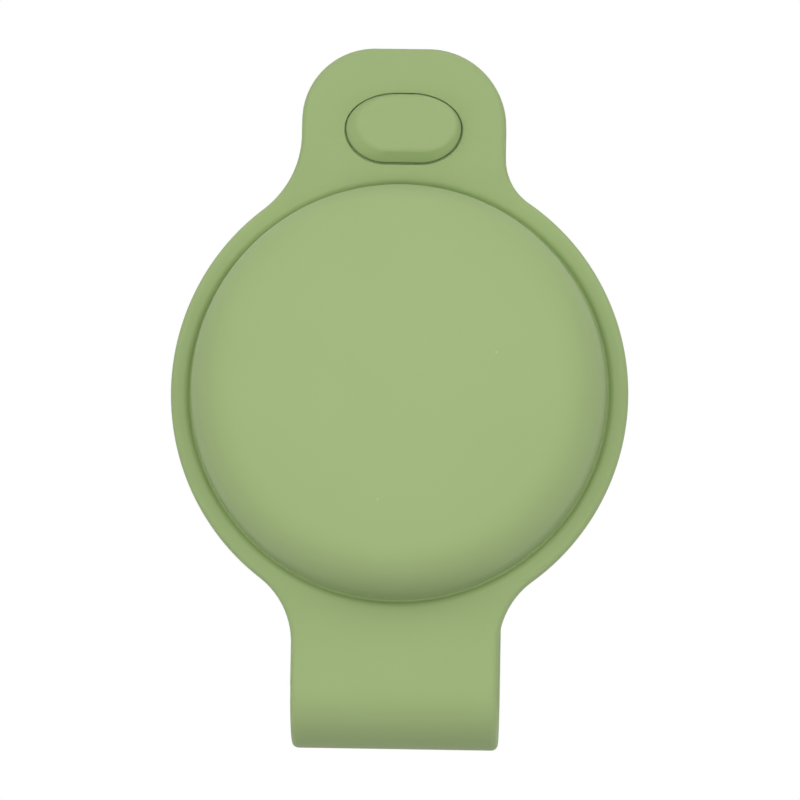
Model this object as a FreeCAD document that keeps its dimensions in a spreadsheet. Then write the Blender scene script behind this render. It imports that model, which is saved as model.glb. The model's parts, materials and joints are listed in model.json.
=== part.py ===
import FreeCAD, Part
import math
import os
import re
import Sketcher
from FreeCAD import Vector

# Tracker tag holder. Lengths in mm, X to the right, Y to the back, Z up.
# The origin is the middle of the collar channel, on the tag's axis (which runs along Y).

SIZES = {
    # The pocket round the tag, which comes out 32 across and 8 thick
    "tag_gap": 0.1,
    "shell_wall": 1.15,
    "crown_radius": 90.0,
    "shoulder_radius": 4.6,
    "lip_thickness": 1.0,
    "window_margin": 0.8,
    "pocket_taper": 2.0,
    "crease_round": 0.35,
    # Rim flange, tab and strap
    "flange_width": 1.65,
    "tab_width": 16.95,
    "tab_reach": 28.8,
    "tab_corner": 6.2,
    "flare_radius": 6.0,
    "corner_limit_share": 0.8,
    "flare_limit_share": 0.7,
    "leaf_limit_share": 0.9,
    "strap_width": 17.05,
    "strap_thickness": 2.0,
    "collar_gap": 5.6,
    "fold_reach": 29.2,
    "fold_split": 45.0,
    "edge_round": 0.55,
    # Upper end of the rear strap
    "bend_radius": 7.0,
    "tab_slack": 0.9,
    "foot_margin": 0.5,
    "end_margin": 1.7,
    "end_width": 14.6,
    "end_corner": 5.6,
    "taper_lead": 6.1,
    # Closure stud and its slot
    "stud_share": 0.411,
    "neck_length": 8.2,
    "neck_width_share": 0.381,
    "head_length": 9.4,
    "head_width_share": 0.485,
    "face_length": 7.8,
    "face_width_share": 0.381,
    "head_height": 1.5,
    "head_round": 0.3,
    "slot_gap": 0.2,
    "seat_gap": 0.05,
    "recess_depth": 0.6,
    "foot_length": 10.6,
    "foot_width_share": 0.554,
    "foot_depth": 0.8,
    "stud_gap": 0.05,
    # Tag case
    "cap_wall": 1.1,
    "case_split": 2.7,
    "case_chamfer": 1.0,
    "case_gap": 0.1,
    "spigot_chamfer": 1.0,
    "case_margin": 4.0,
    "cover_margin": 2.0,
    "cover_thickness": 0.5,
    "cover_gap": 0.15,
    "rim_thickness": 0.95,
    "skirt_wall": 0.65,
    "skirt_step": 0.15,
    "skirt_depth": 1.2,
    "lug_reach": 0.8,
    "lug_thickness": 0.6,
    "lug_gap": 0.1,
    "lug_angle": 16.0,
    "entry_angle": 30.0,
    "entry_width": 4.8,
    "seal_height": 0.55,
    "coin_slot_length": 13.0,
    "coin_slot_width": 1.8,
    "coin_slot_depth": 0.25,
    # Cell
    "cell_diameter": 20.0,
    "cell_thickness": 3.2,
    "cell_gap": 0.15,
    "well_gap": 0.35,
    "can_wall": 0.3,
    "crimp_width": 1.0,
    "cell_shoulder": 0.45,
    "cell_slip": 0.03,
    "cathode_thickness": 1.25,
    "separator_thickness": 0.1,
    # Contacts
    "contact_room": 0.5,
    "contact_sheet": 0.15,
    "contact_height": 1.5,
    "contact_angle": 26.0,
    "leaf_length": 6.0,
    "leaf_width": 2.0,
    # Board and sounder
    "floor_thickness": 0.4,
    "board_gap": 0.05,
    "board_thickness": 0.6,
    "board_margin": 1.6,
    "chip_height": 0.6,
    "chip_length": 3.2,
    "chip_width": 2.4,
    "antenna_width": 0.7,
    "antenna_height": 0.5,
    "cup_diameter": 9.8,
    "cup_gap": 0.3,
    "cup_wall": 0.35,
    "cup_height": 1.5,
    "magnet_height": 1.1,
    "coil_wall": 0.45,
    "coil_gap": 0.3,
    "coil_lift": 0.45,
    "coil_height": 1.1,
}
CHIP_ANGLES = (20.0, 75.0, 140.0, 215.0, 290.0)
CHIP_SCALES = (1.0, 0.6, 0.8, 1.0, 0.5)
LUG_COUNT = 3

# Radii round the tag's axis, from the cell outwards, written in sheet names
CAN_R = "(cell_diameter / 2)"
COVER_R = "(cell_diameter / 2 + cover_margin)"
WINDOW_R = "(cell_diameter / 2 + cover_margin + window_margin)"
CASE_R = "(cell_diameter / 2 + cover_margin + case_margin)"
DOME_R = f"({CASE_R} + tag_gap + shell_wall)"
FLANGE_R = f"({CASE_R} + tag_gap + shell_wall + flange_width)"

# Depths from the tag's back, from the battery cover to the front of the cap
CELL_BACK = "(cover_thickness + cell_gap)"
CELL_FRONT = "(cover_thickness + cell_gap + cell_thickness)"
WELL_END = f"({CELL_FRONT} + contact_room)"
FLOOR_END = f"({WELL_END} + floor_thickness)"
BOARD_BACK = f"({FLOOR_END} + board_gap)"
BOARD_FRONT = f"({BOARD_BACK} + board_thickness)"
COIL_FRONT = f"({BOARD_BACK} + cup_wall + coil_lift + coil_height)"
TAG_FRONT = f"({COIL_FRONT} + 4 * seat_gap + cap_wall)"

# Places along Y
BACK = "-collar_gap / 2"
CROWN = f"(-collar_gap / 2 - {TAG_FRONT} - tag_gap - shell_wall)"
LIP_FRONT = "(-collar_gap / 2 + tag_gap)"
LIP_BACK = "(-collar_gap / 2 + tag_gap + lip_thickness)"
FOLD_R = "(collar_gap / 2 + strap_thickness)"
END_FRONT = "(-collar_gap / 2 + tab_slack)"
END_BACK = "(-collar_gap / 2 + tab_slack + strap_thickness)"
SEAT = "(collar_gap / 2 + strap_thickness - recess_depth)"

# Places along Z, and what the tab's and the leaf's lengths decide
FOLD_Z = f"({FOLD_R} - fold_reach)"
TAPER_Z = f"({FOLD_Z} + taper_lead)"
TAB_SPAN = f"(tab_reach - {DOME_R})"
STUD_Z = f"({DOME_R} + stud_share * {TAB_SPAN})"
NECK_WIDTH = f"(neck_width_share * {TAB_SPAN})"
HEAD_WIDTH = f"(head_width_share * {TAB_SPAN})"
FACE_WIDTH = f"(face_width_share * {TAB_SPAN})"
FOOT_WIDTH = f"(foot_width_share * {TAB_SPAN})"
END_FOOT = f"({STUD_Z} - {FOOT_WIDTH} / 2 - foot_margin)"
END_TOP = f"({STUD_Z} + {FOOT_WIDTH} / 2 + end_margin)"
TAB_CORNER = f"min(tab_corner; corner_limit_share * (tab_reach - {FLANGE_R}))"
TAB_FLARE = f"min(flare_radius; flare_limit_share * (tab_reach - {FLANGE_R}))"
LEAF_FLARE = f"min(flare_radius; leaf_limit_share * (-{FOLD_Z} - {DOME_R}))"

doc = FreeCAD.newDocument("TrackerTagHolder")
sheet = doc.addObject("Spreadsheet::Sheet", "Sizes")
for row, (alias, number) in enumerate(SIZES.items(), start=1):
    sheet.set(f"A{row}", alias)
    sheet.set(f"B{row}", str(number))
    sheet.setAlias(f"B{row}", alias)
doc.recompute()


def bound(text):
    """Turn an expression in sheet names into one that FreeCAD can bind."""
    return re.sub(r"[a-z_]+", lambda m: "Sizes." + m.group() if m.group() in SIZES else m.group(), text)


def value(text):
    """Work out an expression in sheet names."""
    return float(sheet.evalExpression(bound(text)))


def depth(text):
    """Y of a plane that lies this far in front of the tag's back."""
    return f"({BACK} - ({text}))"


def origin_of(body, role):
    return next(item for item in body.Origin.OriginFeatures if item.Role == role)


def new_body(name):
    body = doc.addObject("PartDesign::Body", name)
    body.Label = name
    return body


def new_sketch(body, name, role, offset=None):
    sketch = body.newObject("Sketcher::SketchObject", name)
    sketch.AttachmentSupport = [(origin_of(body, role), "")]
    sketch.MapMode = "FlatFace"
    if offset:
        sketch.setExpression("AttachmentOffset.Base.z", bound(offset))
    return sketch


def set_size(sketch, kind, spots, text):
    index = sketch.addConstraint(Sketcher.Constraint(kind, *spots, value(text)))
    sketch.setExpression(f"Constraints[{index}]", bound(text))


def place(sketch, line, end, x_text, y_text):
    """Bind one end of a line to a point given in sheet names."""
    for kind, axis, text in (("DistanceX", -2, x_text), ("DistanceY", -1, y_text)):
        if text == "0":
            sketch.addConstraint(Sketcher.Constraint("PointOnObject", line, end, axis))
        else:
            set_size(sketch, kind, (-1, 1, line, end), text)


def add_line(sketch, start, end):
    return sketch.addGeometry(Part.LineSegment(Vector(*start), Vector(*end)), False)


def add_arc(sketch, centre, radius, start, end):
    circle = Part.Circle(Vector(*centre), Vector(0, 0, 1), radius)
    return sketch.addGeometry(Part.ArcOfCircle(circle, start, end), False)


def meet(sketch, kind, *spots):
    sketch.addConstraint(Sketcher.Constraint(kind, *spots))


def add_path(sketch, corners):
    """Draw lines through corners given in sheet names, and bind every corner."""
    points = [(value(x), value(y)) for x, y in corners]
    lines = [add_line(sketch, a, b) for a, b in zip(points, points[1:])]
    for first, second in zip(lines, lines[1:]):
        meet(sketch, "Coincident", first, 2, second, 1)
    for line, (x_text, y_text) in zip(lines, corners):
        place(sketch, line, 1, x_text, y_text)
    return lines


def add_polygon(sketch, corners):
    lines = add_path(sketch, corners + corners[:1])
    meet(sketch, "Coincident", lines[-1], 2, lines[0], 1)


def add_stadium(sketch, length, width, height):
    """Draw a slot shape that is centred on the vertical axis."""
    radius = value(width) / 2
    half = value(length) / 2 - radius
    z = value(height)
    right = add_arc(sketch, (half, z), radius, -math.pi / 2, math.pi / 2)
    top = add_line(sketch, (half, z + radius), (-half, z + radius))
    left = add_arc(sketch, (-half, z), radius, math.pi / 2, 3 * math.pi / 2)
    bottom = add_line(sketch, (-half, z - radius), (half, z - radius))
    meet(sketch, "Tangent", right, 2, top, 1)
    meet(sketch, "Tangent", top, 2, left, 1)
    meet(sketch, "Tangent", left, 2, bottom, 1)
    meet(sketch, "Tangent", bottom, 2, right, 1)
    meet(sketch, "Horizontal", top)
    meet(sketch, "Symmetric", right, 3, left, 3, -2)
    set_size(sketch, "Radius", (right,), f"({width}) / 2")
    set_size(sketch, "DistanceX", (left, 3, right, 3), f"({length}) - ({width})")
    if height == "0":
        meet(sketch, "PointOnObject", right, 3, -1)
    else:
        set_size(sketch, "DistanceY", (-1, 1, right, 3), height)


def add_dome(sketch, inset, corners):
    """Draw a half section of the dome, moved in by inset, and close it through the corners."""
    radius_text = f"{DOME_R} - ({inset})"
    crown_text = f"{CROWN} + ({inset})"
    crown_r_text = f"crown_radius - ({inset})"
    shoulder_text = f"shoulder_radius - ({inset})"
    radius, crown = value(radius_text), value(crown_text)
    crown_r, shoulder = value(crown_r_text), value(shoulder_text)
    middle = crown + crown_r
    rise = math.sqrt((crown_r - shoulder) ** 2 - (radius - shoulder) ** 2)
    turn = math.atan2(-rise, radius - shoulder)
    top = add_arc(sketch, (0, middle), crown_r, -math.pi / 2, turn)
    round_edge = add_arc(sketch, (radius - shoulder, middle - rise), shoulder, turn, 0)
    foot = (value(corners[0][0]), value(corners[0][1]))
    wall = add_line(sketch, (radius, middle - rise), foot)
    rest = add_path(sketch, corners)
    axis = add_line(sketch, (0, value(corners[-1][1])), (0, crown))
    place(sketch, axis, 1, *corners[-1])
    meet(sketch, "PointOnObject", top, 3, -2)
    meet(sketch, "Tangent", top, 2, round_edge, 1)
    meet(sketch, "Tangent", round_edge, 2, wall, 1)
    meet(sketch, "Vertical", wall)
    meet(sketch, "Coincident", wall, 2, rest[0], 1)
    meet(sketch, "Coincident", rest[-1], 2, axis, 1)
    meet(sketch, "Coincident", axis, 2, top, 1)
    meet(sketch, "Vertical", axis)
    set_size(sketch, "Radius", (top,), crown_r_text)
    set_size(sketch, "Radius", (round_edge,), shoulder_text)
    set_size(sketch, "DistanceY", (-1, 1, top, 1), crown_text)


def pad(body, name, sketch, length, symmetric=False):
    feature = body.newObject("PartDesign::Pad", name)
    feature.Profile = sketch
    feature.setExpression("Length", bound(length))
    if symmetric:
        feature.SideType = "Symmetric"
    return feature


def cut(body, name, sketch, length, reverse=True, symmetric=False):
    feature = body.newObject("PartDesign::Pocket", name)
    feature.Profile = sketch
    feature.setExpression("Length", bound(length))
    feature.Reversed = reverse
    if symmetric:
        feature.SideType = "Symmetric"
    return feature


def turn_profile(body, name, sketch, kind="PartDesign::Revolution", angle=None):
    feature = body.newObject(kind, name)
    feature.Profile = sketch
    feature.ReferenceAxis = (sketch, ["V_Axis"])
    if angle:
        feature.Midplane = True
        feature.setExpression("Angle", bound(angle))
    return feature


def mirror(body, name, feature):
    copy = body.newObject("PartDesign::Mirrored", name)
    copy.Originals = [feature]
    copy.MirrorPlane = (origin_of(body, "YZ_Plane"), [""])
    body.Tip = copy


def repeat_round(body, name, feature, count):
    ring = body.newObject("PartDesign::PolarPattern", name)
    ring.Originals = [feature]
    ring.Axis = (origin_of(body, "Y_Axis"), [""])
    ring.Occurrences = count
    body.Tip = ring


def round_edges(body, name, wanted, radius):
    """Fillet the edges of the body's tip that the test picks."""
    doc.recompute()
    base = body.Tip
    names = [f"Edge{i}" for i, edge in enumerate(base.Shape.Edges, start=1) if wanted(edge)]
    feature = body.newObject("PartDesign::Fillet", name)
    feature.Base = (base, names)
    feature.setExpression("Radius", bound(radius))
    body.Tip = feature


def lathe(name, corners):
    """Make a body by turning a closed profile round the tag's axis."""
    body = new_body(name)
    sketch = new_sketch(body, name + "_profile", "XY_Plane")
    add_polygon(sketch, corners)
    turn_profile(body, name + "_turned", sketch)
    return body


def is_curve(edge, kind):
    return not edge.Degenerated and type(edge.Curve).__name__ == kind


def near(a, b):
    return abs(a - b) < value("seat_gap") / 10


# Front shell: plate, dome, pocket, slot
front_shell = new_body("front_shell")
outline = new_sketch(front_shell, "plate_outline", "XZ_Plane", "collar_gap / 2")
half_tab, half_strap = value("tab_width / 2"), value("strap_width / 2")
corner, flange = value(TAB_CORNER), value(FLANGE_R)
flare, low_bend = value(TAB_FLARE), value(LEAF_FLARE)
tab_top, leaf_end = value("tab_reach"), value(FOLD_Z)
top_z = math.sqrt((flange + flare) ** 2 - (half_tab + flare) ** 2)
low_z = math.sqrt((flange + low_bend) ** 2 - (half_strap + low_bend) ** 2)
top_turn = math.atan2(top_z, half_tab + flare)
low_turn = math.atan2(low_z, half_strap + low_bend)
top_line = add_line(outline, (0, tab_top), (half_tab - corner, tab_top))
tab_arc = add_arc(outline, (half_tab - corner, tab_top - corner), corner, 0, math.pi / 2)
tab_side = add_line(outline, (half_tab, tab_top - corner), (half_tab, top_z))
top_flare = add_arc(outline, (half_tab + flare, top_z), flare, math.pi, math.pi + top_turn)
rim_arc = add_arc(outline, (0, 0), flange, -low_turn, top_turn)
low_flare = add_arc(outline, (half_strap + low_bend, -low_z), low_bend, math.pi - low_turn, math.pi)
leaf_side = add_line(outline, (half_strap, -low_z), (half_strap, leaf_end))
leaf_foot = add_line(outline, (half_strap, leaf_end), (0, leaf_end))
middle_line = add_line(outline, (0, leaf_end), (0, tab_top))
meet(outline, "Tangent", top_line, 2, tab_arc, 2)
meet(outline, "Tangent", tab_arc, 1, tab_side, 1)
meet(outline, "Tangent", tab_side, 2, top_flare, 1)
meet(outline, "Tangent", top_flare, 2, rim_arc, 2)
meet(outline, "Tangent", rim_arc, 1, low_flare, 1)
meet(outline, "Tangent", low_flare, 2, leaf_side, 1)
meet(outline, "Coincident", leaf_side, 2, leaf_foot, 1)
meet(outline, "Coincident", leaf_foot, 2, middle_line, 1)
meet(outline, "Coincident", middle_line, 2, top_line, 1)
meet(outline, "Coincident", rim_arc, 3, -1, 1)
meet(outline, "Horizontal", top_line)
meet(outline, "Horizontal", leaf_foot)
meet(outline, "Vertical", tab_side)
meet(outline, "Vertical", leaf_side)
meet(outline, "PointOnObject", top_line, 1, -2)
meet(outline, "PointOnObject", leaf_foot, 2, -2)
set_size(outline, "Radius", (tab_arc,), TAB_CORNER)
set_size(outline, "Radius", (top_flare,), TAB_FLARE)
set_size(outline, "Radius", (rim_arc,), FLANGE_R)
set_size(outline, "Radius", (low_flare,), LEAF_FLARE)
set_size(outline, "DistanceX", (-1, 1, tab_side, 1), "tab_width / 2")
set_size(outline, "DistanceX", (-1, 1, leaf_side, 1), "strap_width / 2")
set_size(outline, "DistanceY", (-1, 1, top_line, 1), "tab_reach")
set_size(outline, "DistanceY", (-1, 1, leaf_foot, 2), FOLD_Z)
plate = pad(front_shell, "plate", outline, "strap_thickness")
mirror(front_shell, "whole_plate", plate)


def add_fold(sketch, start, end):
    """Draw the two arcs of a piece of the bottom fold, between two angles round its centre."""
    z = value(FOLD_Z)
    outer = add_arc(sketch, (0, z), value(FOLD_R), start, end)
    inner = add_arc(sketch, (0, z), value("collar_gap / 2"), start, end)
    meet(sketch, "Coincident", outer, 3, inner, 3)
    meet(sketch, "PointOnObject", outer, 3, -2)
    set_size(sketch, "Radius", (outer,), FOLD_R)
    set_size(sketch, "Radius", (inner,), "collar_gap / 2")
    set_size(sketch, "DistanceY", (-1, 1, outer, 3), FOLD_Z)
    return outer, inner


def close_fold(sketch, outer, inner, end, angle, sign):
    """Close one end of a piece of the fold on the radial plane where the pieces meet."""
    z = value(FOLD_Z)
    ray = (math.cos(angle), math.sin(angle))
    big, small = value(FOLD_R), value("collar_gap / 2")
    line = add_line(sketch, (big * ray[0], z + big * ray[1]), (small * ray[0], z + small * ray[1]))
    meet(sketch, "Coincident", line, 1, outer, end)
    meet(sketch, "Coincident", line, 2, inner, end)
    set_size(sketch, "DistanceX", (-1, 1, outer, end), f"{sign}{FOLD_R} * cos(fold_split * 1 deg)")
    set_size(sketch, "DistanceX", (-1, 1, inner, end), f"{sign}collar_gap / 2 * cos(fold_split * 1 deg)")


split_turn = math.radians(value("fold_split"))
front_cut, rear_cut = math.pi + split_turn, 2 * math.pi - split_turn
fold_sketch = new_sketch(front_shell, "front_fold_profile", "YZ_Plane")
outer, inner = add_fold(fold_sketch, math.pi, front_cut)
close_fold(fold_sketch, outer, inner, 2, front_cut, "-")
cap_line = add_line(fold_sketch, (-value(FOLD_R), leaf_end), (-value("collar_gap / 2"), leaf_end))
meet(fold_sketch, "Coincident", cap_line, 1, outer, 1)
meet(fold_sketch, "Coincident", cap_line, 2, inner, 1)
meet(fold_sketch, "Horizontal", cap_line)
meet(fold_sketch, "PointOnObject", outer, 3, cap_line)
pad(front_shell, "front_fold", fold_sketch, "strap_width", symmetric=True)

dome_sketch = new_sketch(front_shell, "dome_profile", "XY_Plane")
add_dome(
    dome_sketch,
    "0",
    [(DOME_R, BACK), (f"{DOME_R} - pocket_taper", LIP_BACK), ("0", LIP_BACK)],
)
turn_profile(front_shell, "dome", dome_sketch)
pocket_sketch = new_sketch(front_shell, "pocket_profile", "XY_Plane")
window_end = f"{LIP_BACK} + lip_thickness"
add_dome(
    pocket_sketch,
    "shell_wall",
    [
        (f"{DOME_R} - shell_wall", LIP_FRONT),
        (WINDOW_R, LIP_FRONT),
        (WINDOW_R, window_end),
        ("0", window_end),
    ],
)
turn_profile(front_shell, "tag_pocket", pocket_sketch, "PartDesign::Groove")
throat = new_sketch(front_shell, "slot_throat", "XZ_Plane", "collar_gap / 2")
add_stadium(throat, "neck_length + 2 * slot_gap", f"{NECK_WIDTH} + 2 * slot_gap", STUD_Z)
cut(front_shell, "slot", throat, "strap_thickness")
recess = new_sketch(front_shell, "slot_recess", "XZ_Plane", SEAT)
add_stadium(recess, "head_length + 2 * slot_gap", f"{HEAD_WIDTH} + 2 * slot_gap", STUD_Z)
cut(front_shell, "recess", recess, "2 * recess_depth")

front_y, back_y = -value(FOLD_R), value(BACK)
fold_z, fold_r, fold_in = value(FOLD_Z), value(FOLD_R), value("collar_gap / 2")


def flat_outline(edge, y):
    """True for an edge of the plate's outline in the plane at y."""
    box = edge.BoundBox
    if not (near(box.YMin, y) and near(box.YMax, y)):
        return False
    middle = edge.valueAt((edge.FirstParameter + edge.LastParameter) / 2)
    inside_tab = abs(middle.x) < half_tab - corner / 2 and abs(middle.z) < tab_top - corner / 2
    on_end = near(middle.z, leaf_end)
    in_rim = math.hypot(middle.x, middle.z) < flange - value("flange_width") / 2
    return not (inside_tab or on_end or in_rim)


def fold_edge(edge):
    """True for the long edges that run round the fold."""
    if not is_curve(edge, "Circle"):
        return False
    on_side = near(abs(edge.BoundBox.XMin), half_strap) and near(edge.BoundBox.XLength, 0)
    return on_side and near(edge.Curve.Center.z, fold_z)


def crease(edge):
    """True for the circle where the dome leaves the plate."""
    box = edge.BoundBox
    return near(box.YMin, front_y) and near(box.YMax, front_y) and near(box.XMax, value(DOME_R))


round_edges(front_shell, "crease_fillet", crease, "crease_round")
round_edges(
    front_shell,
    "soft_edges",
    lambda e: flat_outline(e, front_y) or flat_outline(e, back_y) or fold_edge(e),
    "edge_round",
)

# Strap fold: the bottom of the loop, between its two hinge lines
strap_fold = new_body("strap_fold")
middle_sketch = new_sketch(strap_fold, "fold_profile", "YZ_Plane")
outer, inner = add_fold(middle_sketch, front_cut, rear_cut)
close_fold(middle_sketch, outer, inner, 1, front_cut, "-")
close_fold(middle_sketch, outer, inner, 2, rear_cut, "")
pad(strap_fold, "fold", middle_sketch, "strap_width", symmetric=True)
round_edges(strap_fold, "fold_edges", fold_edge, "edge_round")

# Rear strap: end of the fold, straight run, bend to the tab, end with the stud's hole
rear_strap = new_body("rear_strap")
strap_sketch = new_sketch(rear_strap, "strap_profile", "YZ_Plane")
outer, inner = add_fold(strap_sketch, rear_cut, 2 * math.pi)
close_fold(strap_sketch, outer, inner, 1, rear_cut, "")
bend, half_t = value("bend_radius"), value("strap_thickness / 2")
foot_z, tip_z = value(END_FOOT), value(END_TOP)
run_y, end_y = value("(collar_gap + strap_thickness) / 2"), value(f"({END_FRONT} + {END_BACK}) / 2")
tilt = math.acos(1 - (run_y - end_y) / (2 * bend))
start_z = foot_z - 2 * bend * math.sin(tilt)
low_centre = (run_y - bend, start_z)
high_centre = (end_y + bend, foot_z)
sides = {}
for side, fold_arc, fold_arc_r in ((1, outer, fold_r), (-1, inner, fold_in)):
    offset = side * half_t
    run = add_line(strap_sketch, (fold_arc_r, fold_z), (fold_arc_r, start_z))
    first = add_arc(strap_sketch, low_centre, bend + offset, 0, tilt)
    second = add_arc(strap_sketch, high_centre, bend - offset, math.pi, math.pi + tilt)
    tail = add_line(strap_sketch, (end_y + offset, foot_z), (end_y + offset, tip_z))
    meet(strap_sketch, "Tangent", fold_arc, 2, run, 1)
    meet(strap_sketch, "Tangent", run, 2, first, 1)
    meet(strap_sketch, "Tangent", first, 2, second, 2)
    meet(strap_sketch, "Tangent", second, 1, tail, 1)
    meet(strap_sketch, "Vertical", run)
    meet(strap_sketch, "Vertical", tail)
    sides[side] = (first, second, tail)
set_size(strap_sketch, "Radius", (sides[1][0],), "bend_radius + strap_thickness / 2")
set_size(strap_sketch, "Radius", (sides[1][1],), "bend_radius - strap_thickness / 2")
set_size(strap_sketch, "Radius", (sides[-1][0],), "bend_radius - strap_thickness / 2")
set_size(strap_sketch, "Radius", (sides[-1][1],), "bend_radius + strap_thickness / 2")
set_size(strap_sketch, "DistanceX", (-1, 1, sides[1][2], 1), END_BACK)
set_size(strap_sketch, "DistanceX", (-1, 1, sides[-1][2], 1), END_FRONT)
set_size(strap_sketch, "DistanceY", (-1, 1, sides[1][2], 1), END_FOOT)
set_size(strap_sketch, "DistanceY", (-1, 1, sides[-1][2], 1), END_FOOT)
tip_line = add_line(strap_sketch, (end_y + half_t, tip_z), (end_y - half_t, tip_z))
meet(strap_sketch, "Coincident", sides[1][2], 2, tip_line, 1)
meet(strap_sketch, "Coincident", sides[-1][2], 2, tip_line, 2)
meet(strap_sketch, "Horizontal", tip_line)
set_size(strap_sketch, "DistanceY", (-1, 1, tip_line, 1), END_TOP)
pad(rear_strap, "strap", strap_sketch, "strap_width", symmetric=True)

trim = new_sketch(rear_strap, "strap_trim", "XZ_Plane")
half_end, tip_corner = value("end_width / 2"), value("end_corner")
margin = "strap_width"
path = add_path(
    trim,
    [
        ("end_width / 2 - end_corner", END_TOP),
        ("end_width / 2 - end_corner", f"{END_TOP} + {margin}"),
        (margin, f"{END_TOP} + {margin}"),
        (margin, TAPER_Z),
        ("strap_width / 2", TAPER_Z),
        ("end_width / 2", f"{END_TOP} - end_corner"),
    ],
)
tip_arc = add_arc(trim, (half_end - tip_corner, tip_z - tip_corner), tip_corner, 0, math.pi / 2)
meet(trim, "Coincident", path[-1], 2, tip_arc, 1)
meet(trim, "Coincident", path[0], 1, tip_arc, 2)
set_size(trim, "Radius", (tip_arc,), "end_corner")
set_size(trim, "DistanceX", (-1, 1, path[-1], 2), "end_width / 2")
set_size(trim, "DistanceY", (-1, 1, path[-1], 2), f"{END_TOP} - end_corner")
corner_cut = cut(rear_strap, "end_trim", trim, "4 * (collar_gap + strap_thickness)", symmetric=True)
mirror(rear_strap, "both_sides_trimmed", corner_cut)


def strap_edge(edge):
    """True for the long edges of the strap on both faces, and for the edges round its end."""
    box = edge.BoundBox
    middle = edge.valueAt((edge.FirstParameter + edge.LastParameter) / 2)
    on_foot = is_curve(edge, "Line") and middle.z < fold_z
    crosswise = near(box.ZLength, 0) and middle.z < tip_z - half_t
    through = near(box.XLength, 0) and near(box.ZLength, 0)
    return not (on_foot or crosswise or through)


round_edges(rear_strap, "strap_edges", strap_edge, "edge_round")
stud_hole = new_sketch(rear_strap, "stud_hole", "XZ_Plane", f"-{END_BACK}")
add_stadium(stud_hole, "neck_length + 2 * stud_gap", f"{NECK_WIDTH} + 2 * stud_gap", STUD_Z)
cut(rear_strap, "neck_hole", stud_hole, "strap_thickness")
foot_hole = new_sketch(rear_strap, "foot_hole", "XZ_Plane", f"-{END_BACK}")
add_stadium(foot_hole, "foot_length + 2 * stud_gap", f"{FOOT_WIDTH} + 2 * stud_gap", STUD_Z)
cut(rear_strap, "foot_recess", foot_hole, "foot_depth + stud_gap")

# Closure stud: foot behind the strap, neck through the slot, tapered head in front
closure_stud = new_body("closure_stud")
foot = new_sketch(closure_stud, "foot_outline", "XZ_Plane", f"-{END_BACK}")
add_stadium(foot, "foot_length", FOOT_WIDTH, STUD_Z)
pad(closure_stud, "stud_foot", foot, "foot_depth")
neck = new_sketch(closure_stud, "neck_outline", "XZ_Plane", f"-{END_BACK}")
add_stadium(neck, "neck_length", NECK_WIDTH, STUD_Z)
pad(closure_stud, "stud_neck", neck, f"{SEAT} + seat_gap + {END_BACK}")
head_base = new_sketch(closure_stud, "head_outline", "XZ_Plane", f"{SEAT} + seat_gap")
add_stadium(head_base, "head_length", HEAD_WIDTH, STUD_Z)
head_face = new_sketch(closure_stud, "face_outline", "XZ_Plane", f"{SEAT} + seat_gap + head_height")
add_stadium(head_face, "face_length", FACE_WIDTH, STUD_Z)
head = closure_stud.newObject("PartDesign::AdditiveLoft", "stud_head")
head.Profile = head_base
head.Sections = [head_face]
head.Ruled = True
face_y = -value(f"{SEAT} + seat_gap + head_height")
round_edges(
    closure_stud,
    "face_edge",
    lambda e: near(e.BoundBox.YMin, face_y) and near(e.BoundBox.YMax, face_y),
    "head_round",
)

# Tag case: cap, base, twist-off battery cover, seal
SKIRT_R = f"({COVER_R} - skirt_step)"
BORE_R = f"({COVER_R} + cover_gap)"
LUG_R = f"({COVER_R} - skirt_step + lug_reach)"
GROOVE_R = f"({COVER_R} - skirt_step + lug_reach + cover_gap)"
SPIGOT_R = f"({CASE_R} - cap_wall - case_gap)"
WELL_R = f"({CAN_R} + well_gap)"
SKIRT_END = "(cover_thickness + skirt_depth)"
SHELF = "(cover_thickness + skirt_depth + seal_height + 2 * seat_gap)"

tag_cap = new_body("tag_cap")
cap_outside = new_sketch(tag_cap, "cap_outside", "XY_Plane")
split = depth("case_split + case_gap / 2")
add_dome(cap_outside, "shell_wall + tag_gap", [(CASE_R, split), ("0", split)])
turn_profile(tag_cap, "cap_solid", cap_outside)
cap_inside = new_sketch(tag_cap, "cap_inside", "XY_Plane")
open_end = depth("case_split / 2")
inner_r = f"{CASE_R} - cap_wall"
add_dome(cap_inside, "shell_wall + tag_gap + cap_wall", [(inner_r, open_end), ("0", open_end)])
turn_profile(tag_cap, "cap_hollow", cap_inside, "PartDesign::Groove")

tag_base = lathe(
    "tag_base",
    [
        (BORE_R, BACK),
        (f"{CASE_R} - case_chamfer", BACK),
        (CASE_R, depth("case_chamfer")),
        (CASE_R, depth("case_split")),
        (SPIGOT_R, depth("case_split")),
        (SPIGOT_R, depth(f"{FLOOR_END} - spigot_chamfer")),
        (f"{SPIGOT_R} - spigot_chamfer", depth(FLOOR_END)),
        ("0", depth(FLOOR_END)),
        ("0", depth(WELL_END)),
        (WELL_R, depth(WELL_END)),
        (WELL_R, depth(SHELF)),
        (GROOVE_R, depth(SHELF)),
        (GROOVE_R, depth("rim_thickness")),
        (BORE_R, depth("rim_thickness")),
    ],
)
entry = new_sketch(tag_base, "lug_entry", "XZ_Plane", "collar_gap / 2")
entry.setExpression("AttachmentOffset.Rotation.Angle", bound("-entry_angle * 1 deg"))
entry_low = f"{BORE_R} - 2 * cover_gap"
add_polygon(
    entry,
    [
        (entry_low, "-entry_width / 2"),
        (GROOVE_R, "-entry_width / 2"),
        (GROOVE_R, "entry_width / 2"),
        (entry_low, "entry_width / 2"),
    ],
)
entry_cut = cut(tag_base, "entry_slot", entry, "rim_thickness + lug_gap")
repeat_round(tag_base, "entry_slots", entry_cut, LUG_COUNT)

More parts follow.
